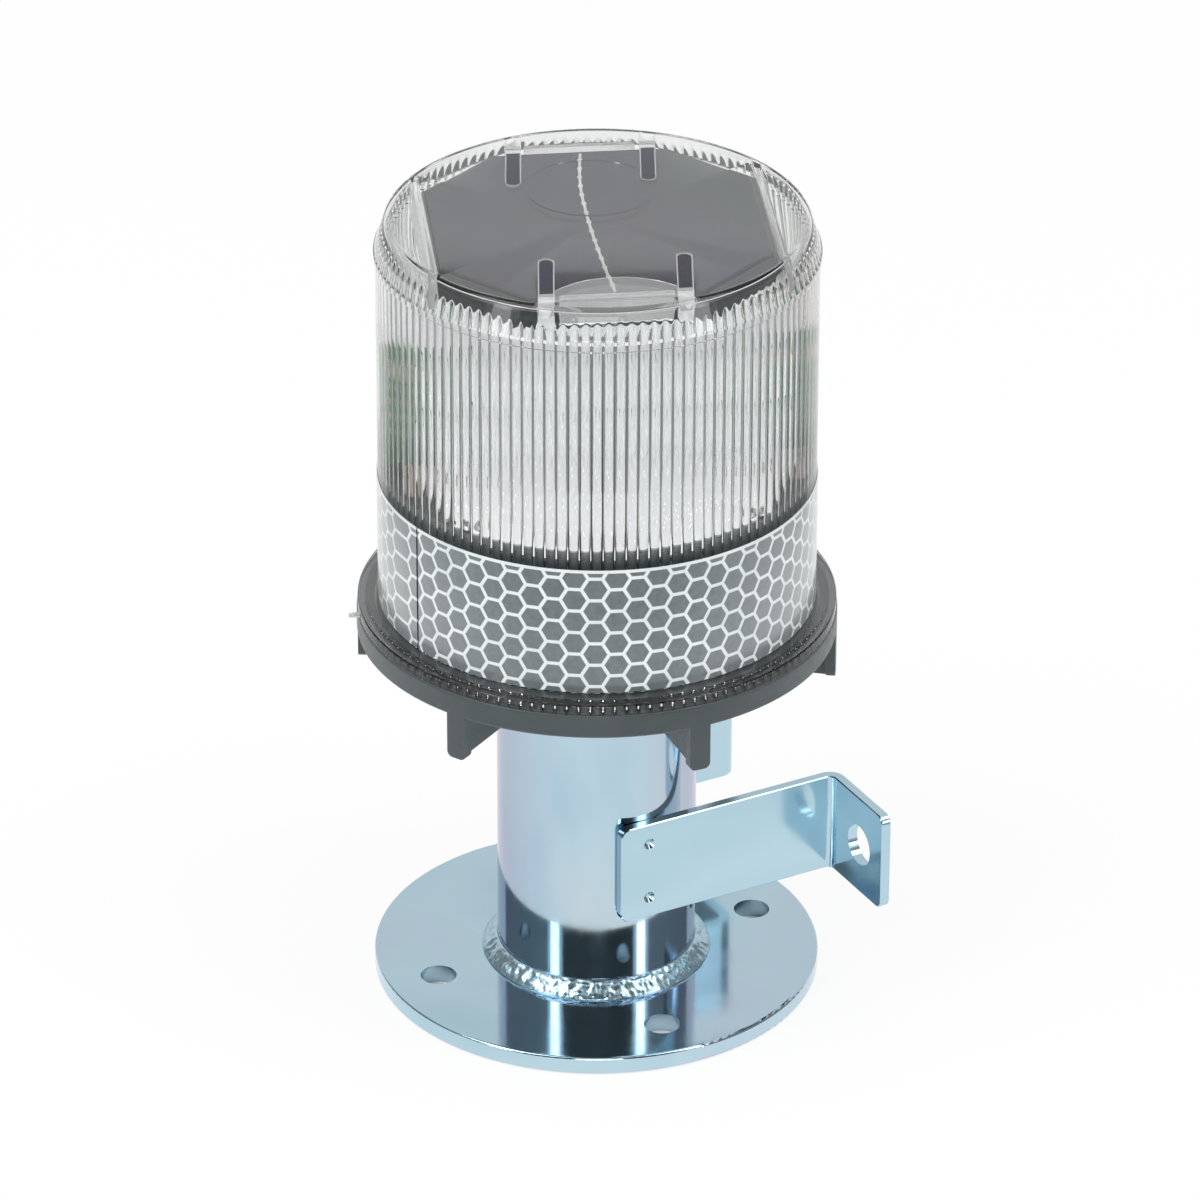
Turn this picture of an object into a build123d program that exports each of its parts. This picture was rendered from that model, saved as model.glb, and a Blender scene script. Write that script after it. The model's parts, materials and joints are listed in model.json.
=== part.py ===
from build123d import *
import os
from math import cos, pi, radians, sin, sqrt

# A solar warning light on a welded steel stand. Millimetres, +Z up.
# The origin is the centre of the base plate's underside, and +X runs along the two wall brackets.

# Steel stand
plate_d = 136.0
plate_t = 5.5
plate_edge = 0.8
bolt_circle_d = 104.0
bolt_hole_d = 11.0
bolt_count = 4
bolt_turn = -6.0
tube_d = 60.5
tube_wall = 2.3
tube_len = 116.5
weld_leg = 4.8
weld_swell = 0.7

# Side brackets, bent from flat strip
strip_t = 3.2
strip_h = 32.0
strip_z = 48.0
strip_back = 9.6
strip_reach = 66.5
strip_corner = 3.0
strip_edge = 0.3
bend_inner_r = 2.0
bracket_hole_d = 13.0
bracket_hole_y = 50.0
bracket_tip_y = 63.4
dimple_d = 3.6
dimple_depth = 0.9
dimple_spacing = 18.6

# Tube cap and the bolt that holds the lamp
cap_t = 4.5
cap_gap = 0.15
bolt_d = 10.0
bolt_clear = 0.5
bolt_head_af = 17.0
bolt_head_h = 6.4
bolt_len = 25.0
nut_h = 8.0
washer_d = 22.0
washer_t = 2.0

# Lamp base moulding
rim_margin = 0.3
rim_h = 7.5
rim_wall = 3.0
floor_t = 3.0
foot_turn = 26.5
foot_count = 6
foot_w = 6.5
foot_t = 3.2
foot_drop = 14.0
foot_corner = 1.8
rib_t = 2.6
rib_rise = 2.5
socket_gap = 0.3
socket_wall = 3.0
cup_wall = 2.2
cup_gap = 0.4
cup_h = 47.5
boss_d = 8.0
boss_inset = 3.4
boss_count = 4
rail_t = 3.0
rail_y = 16.0

# Clear cover
head_turn = -22.2
cover_d = 130.4
cover_wall = 2.4
cover_h = 127.0
cover_foot_w = 6.5
cover_foot_t = 4.0
cover_foot_step = 0.8
lip_out = 0.5
lip_h = 2.4
shoulder_h = 9.6
shoulder_in = 3.1
shoulder_wall = 1.1
top_t = 2.2
top_edge_r = 2.0
bead_count = 120
bead_depth = 1.0
bead_land = 0.1
chord_wall_t = 2.2
chord_wall_h = 8.5
finger_w = 4.8
finger_x = 20.0
finger_end = 25.0
finger_turn = -5.7
finger_h = 1.2
finger_foot_t = 3.0
pad_d = 38.0
pad_y = 21.0
pad_t = 0.4
crescent_d = 49.0
crescent_y = 64.0
gate_angle = 162.0
gate_len = 3.5

# Retroreflective sheet and sealing ring
sheet_t = 0.25
sheet_glue = 0.1
sheet_h = 40.2
sheet_gap = 0.3
seam_angle = -172.0
seam_w = 0.8
seal_inset = 3.7
seal_w = 3.0
seal_t = 1.5

# Solar panel and its tray
panel_af = 96.0
panel_t = 3.0
panel_corner = 22.2
tray_wall = 1.2
tray_gap = 0.2
tray_lip = 1.0
tray_floor = 1.6
tray_frame_h = 5.0
tray_frame_w = 20.0
tray_screw_x = 33.0
tray_screw_y = 6.5

# Lamp board, its diodes and the two reflectors
board_t = 1.6
lamp_board_gap = 3.2
lamp_board_side_h = 40.0
lamp_board_neck_w = 82.0
board_corner = 2.0
reflector_w = 88.0
trough_count = 4
trough_depth = 8.5
reflector_wall = 1.2
reflector_screw_y = 15.0
led_d = 5.0
led_h = 3.7
led_shoulder = 1.1
led_rows = 3
led_pitch = 19.0
window_gap = 0.6

# Small components on the boards
chip_l = 3.2
chip_w = 1.8
chip_t = 1.2
chip_count = 4
chip_pitch = 5.0
chip_rise = 12.0
end_can_d = 5.0
end_can_rise = 34.0
part_x = 50.0
part_y = 16.0
coil_d = 9.0
coil_h = 5.0
can_d = 6.3
can_h = 7.5

# Main board and battery
main_board_gap = 0.3
board_drop = 1.0
battery_lift = 10.0
cell_d = 26.0
cell_len = 50.0
cell_count = 3
wrap_web = 18.0
wrap_edge = 0.6
strap_t = 1.0
strap_w = 12.0
strap_gap = 0.3
strap_foot = 13.0

# Small pan-head screws
screw_d = 3.0
screw_head_d = 5.6
screw_head_h = 1.9
screw_len = 8.0
pilot_d = 2.6
screw_clear = 0.2
head_clear = 0.4

# Leads
lead_d = 2.4
lead_top_x = 46.5
lead_x = 48.5
lead_y = 9.0
battery_lead_y = 34.0
joggle_start = 30.0
joggle_end = 50.0
joggle_r = 24.0
lead_bend_r = 6.0
plug_l = 6.0
plug_w = 5.0
plug_h = 4.5

# Heights and radii that follow from the values above
tube_r = tube_d / 2
seat_z = plate_t + tube_len
flange_z = seat_z + floor_t
rim_z = flange_z - rim_h
cover_r = cover_d / 2
bore_r = cover_r - cover_wall
crest_r = bore_r - bead_land - bead_depth
cover_foot_r = cover_r + cover_foot_w
rim_r = cover_foot_r + rim_margin
seal_r = cover_foot_r - seal_inset
cup_r = crest_r - cup_gap
cup_top = flange_z + cup_h
cover_top = flange_z + cover_h
ceiling_z = cover_top - top_t
panel_top = ceiling_z - finger_h
panel_z = panel_top - panel_t
tray_z = panel_z - tray_floor
tray_screw_z = panel_z - screw_head_h - screw_clear
frame_z = tray_z - tray_frame_h
tray_half = panel_af / 2 + tray_gap + tray_wall
chord_in = tray_half + tray_gap
main_top = cup_top - board_drop
main_z = main_top - board_t
main_board_r = cup_r - cup_wall - main_board_gap
lamp_board_w = 2 * (crest_r - lamp_board_gap)
boss_r = cup_r - cup_wall - boss_inset
battery_z = flange_z + battery_lift
cell_r = cell_d / 2
row_w = cell_d * (cell_count - 1)
trough_w = reflector_w / trough_count
reflector_d = reflector_wall + trough_depth
column_x = [(i - (trough_count - 1) / 2) * trough_w for i in range(trough_count)]
led_z = [(main_top + frame_z) / 2 + (j - (led_rows - 1) / 2) * led_pitch for j in range(led_rows)]
head = Rot(0, 0, head_turn)


def solid(sketch, height, z=0.0):
    """A flat outline raised to a height, standing at z."""
    return Pos(0, 0, z) * extrude(sketch, height)


def disc(diameter, height, z=0.0, x=0.0, y=0.0):
    """A round slab whose underside is at z."""
    return Pos(x, y, z) * Cylinder(diameter / 2, height, align=(Align.CENTER, Align.CENTER, Align.MIN))


def bar(length, width, height, z, x=0.0, y=0.0):
    """A straight block, centred in plan, whose underside is at z."""
    return Pos(x, y, z) * Box(length, width, height, align=(Align.CENTER, Align.CENTER, Align.MIN))


def turned(points):
    """A profile of radius and height points, turned about the upright axis."""
    return revolve(Plane.XZ * make_face(Polyline(*points, close=True)), Axis.Z)


def around(count, radius, start=0.0):
    """Evenly spaced places on a circle, each facing outwards."""
    step = 360 / count
    return [Rot(0, 0, start + i * step) * Pos(radius, 0, 0) for i in range(count)]


def hexagon_prism(across_flats, height, z):
    """A hexagon bar with the given distance between its flats."""
    return solid(RegularPolygon(across_flats / sqrt(3), 6), height, z)


def pan_screw(x, y, z, length=None):
    """A pan-head screw pointing down, with its head seated at z."""
    length = screw_len if length is None else length
    head_top = disc(screw_head_d, screw_head_h, z, x, y)
    head_top = chamfer(head_top.edges().group_by(Axis.Z)[-1], screw_head_h * 0.35)
    slot = bar(screw_head_d * 0.55, 0.7, screw_head_h * 0.5, z + screw_head_h * 0.6, x, y)
    cross = bar(0.7, screw_head_d * 0.55, screw_head_h * 0.5, z + screw_head_h * 0.6, x, y)
    shank = disc(pilot_d, length, z - length, x, y)
    return head_top - slot - cross + shank


def base_plate():
    """Round foot of the stand, with four bolt holes and broken edges."""
    plate = disc(plate_d, plate_t)
    plate = fillet(plate.edges(), plate_edge)
    for place in around(bolt_count, bolt_circle_d / 2, bolt_turn):
        plate -= place * disc(bolt_hole_d, plate_t)
    return plate


def post_tube():
    """Round tube that carries the lamp, square cut at both ends."""
    return disc(tube_d, tube_len, plate_t) - disc(tube_d - 2 * tube_wall, tube_len, plate_t)


def foot_weld():
    """Fillet weld between tube and plate, with a slightly swollen face."""
    toe = (tube_r + weld_leg, plate_t)
    root = (tube_r, plate_t)
    top = (tube_r, plate_t + weld_leg)
    out = weld_leg / 2 + weld_swell / sqrt(2)
    face = ThreePointArc(toe, (tube_r + out, plate_t + out), top)
    return revolve(Plane.XZ * make_face([face, Polyline(top, root, toe)]), Axis.Z)


def at_corner(x, y):
    """Picks the outline's corner at one place in plan."""
    return lambda v: abs(v.X - x) < 0.01 and abs(v.Y - y) < 0.01


def bracket(side):
    """Strip welded flat to the tube's side and bent outwards at its far end. side is -1 or 1."""
    inner = tube_r
    outer = tube_r + strip_t
    far = strip_reach - strip_t
    plan = Polyline((-strip_back, outer), (-strip_back, inner), (strip_reach, inner),
                    (strip_reach, bracket_tip_y), (far, bracket_tip_y), (far, outer), close=True)
    face = make_face(plan)
    face = fillet(face.vertices().filter_by(at_corner(far, outer)), bend_inner_r)
    face = fillet(face.vertices().filter_by(at_corner(strip_reach, inner)), bend_inner_r + strip_t)
    strip = solid(face, strip_h, strip_z - strip_h / 2)
    back_end = strip.edges().filter_by(Axis.Y).group_by(Axis.X)[0]
    far_end = strip.edges().filter_by(Axis.X).group_by(Axis.Y)[-1]
    strip = fillet(back_end + far_end, strip_corner)
    broad = strip.faces().sort_by(Axis.Z)
    strip = chamfer(broad[0].edges() + broad[-1].edges(), strip_edge)
    hole = Rot(0, 90, 0) * Cylinder(bracket_hole_d / 2, 4 * strip_t)
    strip -= Pos(strip_reach, bracket_hole_y, strip_z) * hole
    for up in (-0.5, 0.5):
        place = Pos(0, outer - dimple_depth / 2, strip_z + up * dimple_spacing) * Rot(-90, 0, 0)
        strip -= place * Cone(dimple_d / 6, dimple_d / 2, dimple_depth)
    return strip if side > 0 else mirror(strip, Plane.XZ)


def tube_cap():
    """Disc welded into the tube's top, flush with its end."""
    cap_r = tube_r - tube_wall - cap_gap
    return disc(2 * cap_r, cap_t, seat_z - cap_t) - disc(bolt_d + bolt_clear, cap_t, seat_z - cap_t)


def mount_bolt():
    """Hexagon bolt from inside the cup, down through the floor and the tube cap."""
    under_head = flange_z + washer_t
    shank = disc(bolt_d, bolt_len, under_head - bolt_len)
    shank = chamfer(shank.edges().group_by(Axis.Z)[0], bolt_d * 0.1)
    crown = disc(bolt_head_af * 1.1, bolt_head_h, under_head)
    crown = chamfer(crown.edges().group_by(Axis.Z)[-1], bolt_head_h * 0.2)
    return shank + (crown & hexagon_prism(bolt_head_af, bolt_head_h, under_head))


def mount_nut():
    """Hexagon nut below the tube cap."""
    nut_z = seat_z - cap_t - washer_t - nut_h
    return hexagon_prism(bolt_head_af, nut_h, nut_z) - disc(bolt_d, nut_h, nut_z)


def mount_washers():
    """One washer under the bolt's head and one over the nut."""
    hole = bolt_d + bolt_clear
    upper = disc(washer_d, washer_t, flange_z) - disc(hole, washer_t, flange_z)
    lower_z = seat_z - cap_t - washer_t
    lower = disc(washer_d, washer_t, lower_z) - disc(hole, washer_t, lower_z)
    return [upper, lower]


def base_foot():
    """One foot of the lamp base along +X: an outer post and the rib that ties it to the socket."""
    foot_z = rim_z - foot_drop
    inner_r = tube_r + socket_gap + socket_wall / 2
    outer_r = rim_r - foot_t / 2
    outline = Polyline((inner_r, seat_z), (inner_r, foot_z + rib_rise), (outer_r, foot_z), (outer_r, seat_z),
                       close=True)
    rib = Plane.XZ * extrude(make_face(outline), rib_t / 2, both=True)
    height = seat_z - foot_z
    post = bar(2 * foot_t, foot_w, height, foot_z, rim_r)
    post &= disc(2 * rim_r, height, foot_z) - disc(2 * (rim_r - foot_t), height, foot_z)
    post = fillet(post.edges().filter_by(GeomType.LINE).group_by(Axis.Z)[0], foot_corner)
    return rib + post


def battery_rails():
    """Two upright rails on the cup's floor, hollowed to cradle the cells."""
    height = battery_lift + cell_r - wrap_web / 2 - strap_gap
    blank = bar(row_w + cell_d, rail_t, height, flange_z)
    for i in range(cell_count):
        x = i * cell_d - row_w / 2
        blank -= Pos(x, 0, battery_z + cell_r) * Rot(90, 0, 0) * Cylinder(cell_r, 2 * rail_t)
    return [Pos(0, y, 0) * blank for y in (-rail_y, rail_y)]


def boss_places():
    """Where the main board's bosses stand."""
    return around(boss_count, boss_r, 360 / boss_count / 2)


def strap_foot_x():
    """How far from the middle the strap's screws stand."""
    return row_w / 2 + cell_r + strap_gap + strap_t + strap_foot / 2


def lamp_base():
    """Dark moulding: rimmed floor, tube socket, six feet, and the cup that holds battery and boards."""
    rim = disc(2 * rim_r, rim_h, rim_z) - disc(2 * (rim_r - rim_wall), rim_h - floor_t, rim_z)
    rim = fillet(rim.edges().filter_by(GeomType.CIRCLE).sort_by(SortBy.RADIUS)[-2:], plate_edge)
    socket_r = tube_r + socket_gap
    foot_z = rim_z - foot_drop
    collar = disc(2 * (socket_r + socket_wall), seat_z - foot_z - rib_rise, foot_z + rib_rise)
    body = rim + collar
    for place in around(foot_count, 0, foot_turn):
        body += place * base_foot()
    body -= disc(2 * socket_r, seat_z - foot_z, foot_z)
    cup = disc(2 * cup_r, cup_h, flange_z) - disc(2 * (cup_r - cup_wall), cup_h, flange_z)
    body += chamfer(cup.edges().group_by(Axis.Z)[-1], cup_wall * 0.2)
    inner = battery_rails()
    for place in boss_places():
        web = bar(boss_inset, rib_t, main_z - flange_z, flange_z, boss_inset / 2 + cup_wall / 2)
        post = disc(boss_d, main_z - flange_z, flange_z) + web
        inner.append(place * (post - disc(pilot_d, screw_len * 1.5, main_z - screw_len * 1.5)))
    for x in (-strap_foot_x(), strap_foot_x()):
        top = battery_z + cell_r
        post = disc(boss_d, top - flange_z, flange_z, x)
        inner.append(post - disc(pilot_d, screw_len * 1.5, top - screw_len * 1.5, x))
    for piece in inner:
        body += head * piece
    body -= disc(bolt_d + bolt_clear, floor_t, seat_z)
    return body - seal_ring()


def seal_ring():
    """Flat rubber ring let into the base's rim under the cover's foot."""
    outer = disc(2 * seal_r + seal_w, seal_t, flange_z - seal_t)
    return outer - disc(2 * seal_r - seal_w, seal_t, flange_z - seal_t)


def cover_outside():
    """The cover's outer form, filled: stepped foot, straight wall, lip, sloping shoulder and flat top."""
    foot_r = cover_foot_r
    foot_z = flange_z + cover_foot_t
    step_z = foot_z - cover_foot_step
    neck_z = cover_top - shoulder_h
    lip_z = neck_z - lip_h
    lip_r = cover_r + lip_out
    edge_r = cover_r - shoulder_in
    foot = [(0, flange_z), (foot_r, flange_z), (foot_r, step_z), (foot_r - cover_wall, step_z),
            (foot_r - cover_wall, foot_z), (cover_r, foot_z)]
    lip = [(cover_r, lip_z - lip_out), (lip_r, lip_z), (lip_r, neck_z - lip_out), (cover_r, neck_z)]
    form = turned(foot + lip + [(edge_r, cover_top), (0, cover_top)])
    return fillet(form.edges().filter_by(GeomType.CIRCLE).group_by(Axis.Z)[-1], top_edge_r)


def beaded_outline():
    """The cover's bore as one closed line of inward beads."""
    foot_r = bore_r - bead_land
    half_step = pi / bead_count
    beads = []
    for i in range(bead_count):
        a = 2 * i * half_step
        start = (foot_r * cos(a - half_step), foot_r * sin(a - half_step))
        end = (foot_r * cos(a + half_step), foot_r * sin(a + half_step))
        beads.append(ThreePointArc(start, (crest_r * cos(a), crest_r * sin(a)), end))
    return make_face(beads)


def cover_inside():
    """The hollow of the cover: upright beads all round, fading into the sloping shoulder."""
    neck_z = cover_top - shoulder_h
    edge_r = cover_r - shoulder_in - shoulder_wall
    hollow = turned([(0, flange_z), (bore_r, flange_z), (bore_r, neck_z), (edge_r, ceiling_z),
                     (0, ceiling_z)])
    return solid(beaded_outline(), ceiling_z - flange_z, flange_z) & hollow


def hung(outline, depth):
    """An outline that hangs from the cover's top by depth, and is rooted halfway into it."""
    return solid(outline, depth + top_t / 2, ceiling_z - depth)


def hold_down(side, end):
    """One finger on the panel: a flat round-ended bar, and the upright foot just outside the tray."""
    edge = panel_af / 2
    inner = edge - finger_end - finger_w / 2
    outer = cover_r - edge
    flat = Pos(0, (outer - inner) / 2) * Rectangle(finger_w, outer + inner)
    flat += Pos(0, -inner) * Circle(finger_w / 2)
    foot = Pos(0, chord_in + tray_gap + finger_foot_t / 2 - edge) * Rectangle(finger_w, finger_foot_t)
    turn = finger_turn if end > 0 else finger_turn + 180
    place = Pos(side * finger_x, end * edge, 0) * Rot(0, 0, turn)
    return place * (hung(flat, finger_h) + hung(foot, chord_wall_h))


def cover_fittings():
    """What hangs under the cover's top: walls round the tray, hold-down fingers and two shallow pads."""
    span = 2 * finger_x - finger_w - chord_wall_t
    pieces = [hung(Pos(0, pad_y) * Circle(pad_d / 2), pad_t)]
    pieces.append(hung(Pos(0, -crescent_y) * Circle(crescent_d / 2), pad_t))
    for side in (-1, 1):
        at = side * (chord_in + chord_wall_t / 2)
        pieces.append(hung(Pos(at, 0) * Rectangle(chord_wall_t, cover_d), chord_wall_h))
        pieces.append(hung(Pos(0, at) * Rectangle(span, chord_wall_t), chord_wall_h))
        pieces += [hold_down(side, end) for end in (-1, 1)]
    inside = disc(2 * crest_r, chord_wall_h + top_t / 2, ceiling_z - chord_wall_h)
    return [head * (piece & inside) for piece in pieces]


def gate_nib():
    """Small pointed stub left on the foot's edge by the mould's gate."""
    r = cover_foot_r
    outline = Polyline((r - 1, -1.6), (r + gate_len * 0.4, -1.0), (r + gate_len, 0),
                       (r + gate_len * 0.5, 1.3), (r - 1, 1.9), close=True)
    nib = solid(make_face(outline), cover_foot_t * 0.4, flange_z + cover_foot_t * 0.2)
    return Rot(0, 0, gate_angle) * nib


def clear_cover():
    """The whole clear moulding."""
    return cover_outside() - cover_inside() + cover_fittings() + gate_nib()


def reflective_sheet():
    """Thin band stuck round the cover above its foot, with one upright seam."""
    z = flange_z + cover_foot_t + sheet_gap
    inner_d = cover_d + 2 * sheet_glue
    band = disc(inner_d + 2 * sheet_t, sheet_h, z) - disc(inner_d, sheet_h, z)
    return band - Rot(0, 0, seam_angle) * bar(cover_wall, seam_w, sheet_h, z, cover_r)


def octagon(across_flats, corner):
    """Square with its corners cut off at 45 degrees."""
    return chamfer(Rectangle(across_flats, across_flats).vertices(), corner)


def solar_panel():
    """Laminated eight-sided plate."""
    plate = solid(octagon(panel_af, panel_corner), panel_t, panel_z)
    return head * chamfer(plate.edges().group_by(Axis.Z)[-1], panel_t * 0.12)


def tray_screw_places():
    """The four screws that hold the tray on the reflectors."""
    return [(x, y) for x in (-tray_screw_x, tray_screw_x) for y in (-tray_screw_y, tray_screw_y)]


def panel_tray():
    """Eight-sided tray under the panel, with a rim, a skirt and a frame that seats on the reflectors."""
    room = panel_af + 2 * tray_gap
    outer = 2 * tray_half
    spread = (outer - panel_af) / 2 * (2 - sqrt(2))
    shape = octagon(outer, panel_corner + spread)
    room_shape = octagon(room, panel_corner + tray_gap * (2 - sqrt(2)))
    tray = solid(shape, panel_top - tray_lip - tray_z, tray_z) - solid(room_shape, panel_t, panel_z)
    tray += solid(shape, tray_frame_h, frame_z) - solid(offset(shape, -tray_wall), tray_frame_h, frame_z)
    frame = Rectangle(reflector_w, tray_frame_w)
    tray += solid(frame - offset(frame, -tray_wall), tray_frame_h, frame_z)
    for x, y in tray_screw_places():
        tray += disc(screw_head_d + 2 * tray_wall, tray_frame_h, frame_z, x, y)
    for x, y in tray_screw_places():
        tray -= disc(screw_d + screw_clear, tray_frame_h + tray_floor, frame_z, x, y)
        tray -= disc(screw_head_d + head_clear, tray_floor + screw_head_h, tray_screw_z, x, y)
    tray -= bar(lamp_board_neck_w + 1, board_t + 0.4, tray_frame_h, frame_z)
    return head * tray


def tray_screws():
    """Four screws, sunk in the tray's floor."""
    return [head * pan_screw(x, y, tray_screw_z) for x, y in tray_screw_places()]


def lamp_board():
    """Upright board with wide lower ends and a neck that reaches the tray."""
    side = Rectangle(lamp_board_w, lamp_board_side_h, align=(Align.CENTER, Align.MIN))
    side = fillet(side.vertices().group_by(Axis.Y)[-1], board_corner)
    neck = Rectangle(lamp_board_neck_w, frame_z - main_top, align=(Align.CENTER, Align.MIN))
    board = Plane.XZ * extrude(side + neck, board_t / 2, both=True)
    return head * Pos(0, 0, main_top) * board


def led_chips():
    """Diodes in columns on both faces of the lamp board."""
    chip = disc(led_d, led_h)
    chip = chamfer(chip.edges().group_by(Axis.Z)[-1], led_shoulder)
    chips = []
    for face in (0, 180):
        for x in column_x:
            for z in led_z:
                chips.append(head * Rot(0, 0, face) * Pos(x, -board_t / 2, z) * Rot(90, 0, 0) * chip)
    return chips


def end_parts():
    """Small components on both ends of the lamp board, on its front and rear faces."""
    middle = (lamp_board_w + reflector_w) / 4
    chip = bar(chip_l, chip_w, chip_t, 0)
    can = disc(end_can_d, end_can_d)
    group = [Pos(0, chip_rise + i * chip_pitch, 0) * chip for i in range(chip_count)]
    group.append(Pos(0, end_can_rise, 0) * can)
    parts = []
    for face in (0, 180):
        for side in (-1, 1):
            place = Rot(0, 0, face) * Pos(side * middle, -board_t / 2, main_top) * Rot(90, 0, 0)
            parts += [head * place * part for part in group]
    return parts


def foot_screw_places():
    """The two screws in the front reflector's floor."""
    return [(column_x[0], -reflector_screw_y), (column_x[-1], -reflector_screw_y)]


def troughs():
    """Plan of the upright half-round troughs, with their flat back on the lamp board."""
    back = board_t / 2
    crest = back + reflector_d
    points = [(reflector_w / 2 - i * trough_w, -crest) for i in range(trough_count + 1)]
    deep = -back - reflector_wall
    arcs = [ThreePointArc(a, (a[0] - trough_w / 2, deep), b) for a, b in zip(points, points[1:])]
    rest = Polyline(points[-1], (-reflector_w / 2, -back), (reflector_w / 2, -back), points[0])
    return make_face(arcs + [rest])


def reflector(turn):
    """Silvered moulding with upright troughs, a cap under the tray and a floor out to the cup's wall."""
    back = board_t / 2
    body = solid(troughs(), frame_z - main_top, main_top)
    cap_z = frame_z - reflector_wall
    body += bar(reflector_w, reflector_d, reflector_wall, cap_z, 0, -back - reflector_d / 2)
    floor = bar(reflector_w, main_board_r, reflector_wall, main_top, 0, -back - main_board_r / 2)
    body += floor & disc(2 * main_board_r, reflector_wall, main_top)
    for x in column_x:
        for z in led_z:
            body -= Pos(x, -back, z) * Rot(90, 0, 0) * Cylinder(led_d / 2 + window_gap, 4 * reflector_wall)
    for x, y in tray_screw_places():
        if y < 0:
            body -= disc(pilot_d, screw_len * 1.2, frame_z - screw_len * 1.2, x, y)
    for x, y in foot_screw_places():
        body -= disc(screw_d + screw_clear, reflector_wall, main_top, x, y)
    for place in boss_places():
        body -= place * disc(screw_head_d + 2 * head_clear, reflector_wall, main_top)
    return head * Rot(0, 0, turn) * body


def reflector_screws():
    """Four screws through the reflectors' floors into the main board."""
    spots = foot_screw_places() + [(-x, -y) for x, y in foot_screw_places()]
    return [head * pan_screw(x, y, main_top + reflector_wall, screw_len * 0.5) for x, y in spots]


def main_board():
    """Round board on the cup's bosses."""
    board = disc(2 * main_board_r, board_t, main_z)
    for place in boss_places():
        board -= place * disc(screw_d + screw_clear, board_t, main_z)
    for x, y in foot_screw_places():
        board -= disc(pilot_d, board_t, main_z, x, y) + disc(pilot_d, board_t, main_z, -x, -y)
    return head * board


def board_screws():
    """Screws that hold the main board on the bosses."""
    return [head * place * pan_screw(0, 0, main_top) for place in boss_places()]


def power_parts():
    """Two plugs, a coil and two capacitors on the main board."""
    panel_plug = bar(plug_l, plug_w, plug_h, main_top, lead_x, lead_y)
    battery_plug = bar(plug_l, plug_w, plug_h, main_z - plug_h, -row_w / 2, -battery_lead_y)
    coil = disc(coil_d, coil_h, main_top, -part_x, part_y)
    coil = chamfer(coil.edges(), coil_h * 0.2)
    cans = [disc(can_d, can_h, main_top, x, -part_y) for x in (-part_x, part_x)]
    return [head * part for part in [panel_plug, battery_plug, coil] + cans]


def battery_pack():
    """Cells side by side in one shrink wrap."""
    wrap = Rectangle(row_w, wrap_web)
    for i in range(cell_count):
        wrap += Pos(i * cell_d - row_w / 2, 0) * Circle(cell_r)
    pack = Plane.XZ * extrude(wrap, cell_len / 2, both=True)
    ends = pack.edges().group_by(Axis.Y)
    return head * Pos(0, 0, battery_z + cell_r) * chamfer(ends[0] + ends[-1], wrap_edge)


def battery_strap():
    """Bent metal band over the pack, with a flat foot at each end."""
    gap_r = cell_r + strap_gap
    outer = SlotCenterToCenter(row_w, 2 * (gap_r + strap_t))
    inner = SlotCenterToCenter(row_w, 2 * gap_r)
    width = 2 * strap_foot_x() + strap_foot
    lower_half = Rectangle(width, 2 * cell_d, align=(Align.CENTER, Align.MAX))
    feet = Rectangle(width, strap_t, align=(Align.CENTER, Align.MIN))
    band = (outer + feet) - inner - lower_half
    strap = Plane.XZ * extrude(band, strap_w / 2, both=True)
    strap = Pos(0, 0, battery_z + cell_r) * strap
    for x in (-strap_foot_x(), strap_foot_x()):
        strap -= disc(screw_d + screw_clear, 4 * strap_t, battery_z + cell_r - strap_t, x)
    return head * strap


def strap_screws():
    """Screws in the strap's feet."""
    z = battery_z + cell_r + strap_t
    return [head * pan_screw(x, 0, z) for x in (-strap_foot_x(), strap_foot_x())]


def lead(points, radius):
    """A round lead along straight runs joined by tangent arcs."""
    path = FilletPolyline(*points, radius=radius)
    start = Plane(origin=path @ 0, z_dir=path % 0)
    return sweep(start * Circle(lead_d / 2), path)


def panel_lead():
    """Lead from the tray down to its plug on the main board."""
    route = [(lead_top_x, lead_y, tray_z), (lead_top_x, lead_y, tray_z - joggle_start),
             (lead_x, lead_y, tray_z - joggle_end), (lead_x, lead_y, main_top + plug_h)]
    return head * lead(route, joggle_r)


def battery_lead():
    """Lead from the battery's end up to its plug under the main board."""
    axis_z = battery_z + cell_r
    x = -row_w / 2
    route = [(x, -cell_len / 2, axis_z), (x, -battery_lead_y, axis_z), (x, -battery_lead_y, main_z - plug_h)]
    return head * lead(route, lead_bend_r)


nodes = {
    "base_plate": base_plate(),
    "post_tube": post_tube(),
    "foot_weld": foot_weld(),
    "bracket_front": bracket(-1),
    "bracket_rear": bracket(1),
    "tube_cap": tube_cap(),
    "mount_bolt": mount_bolt(),
    "mount_nut": mount_nut(),
    "mount_washers": mount_washers(),
    "lamp_base": lamp_base(),
    "sealing_ring": seal_ring(),
    "clear_cover": clear_cover(),
    "reflective_sheet": reflective_sheet(),
    "solar_panel": solar_panel(),
    "panel_tray": panel_tray(),
    "tray_screws": tray_screws(),
    "lamp_board": lamp_board(),
    "led_chips": led_chips(),
    "end_parts": end_parts(),
    "reflector_front": reflector(0),
    "reflector_rear": reflector(180),
    "reflector_screws": reflector_screws(),
    "main_board": main_board(),
    "power_parts": power_parts(),
    "board_screws": board_screws(),
    "battery_pack": battery_pack(),
    "battery_strap": battery_strap(),
    "strap_screws": strap_screws(),
    "panel_lead": panel_lead(),
    "battery_lead": battery_lead(),
}

os.makedirs("parts", exist_ok=True)
for name, shape in nodes.items():
    pieces = shape if isinstance(shape, list) else [shape]
    solids = [s for piece in pieces for s in piece.solids()]
    export_step(Compound(children=solids), f"parts/{name}.step")
    print(name, len(solids), "solids", round(sum(s.volume for s in solids)), "mm3")
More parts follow.
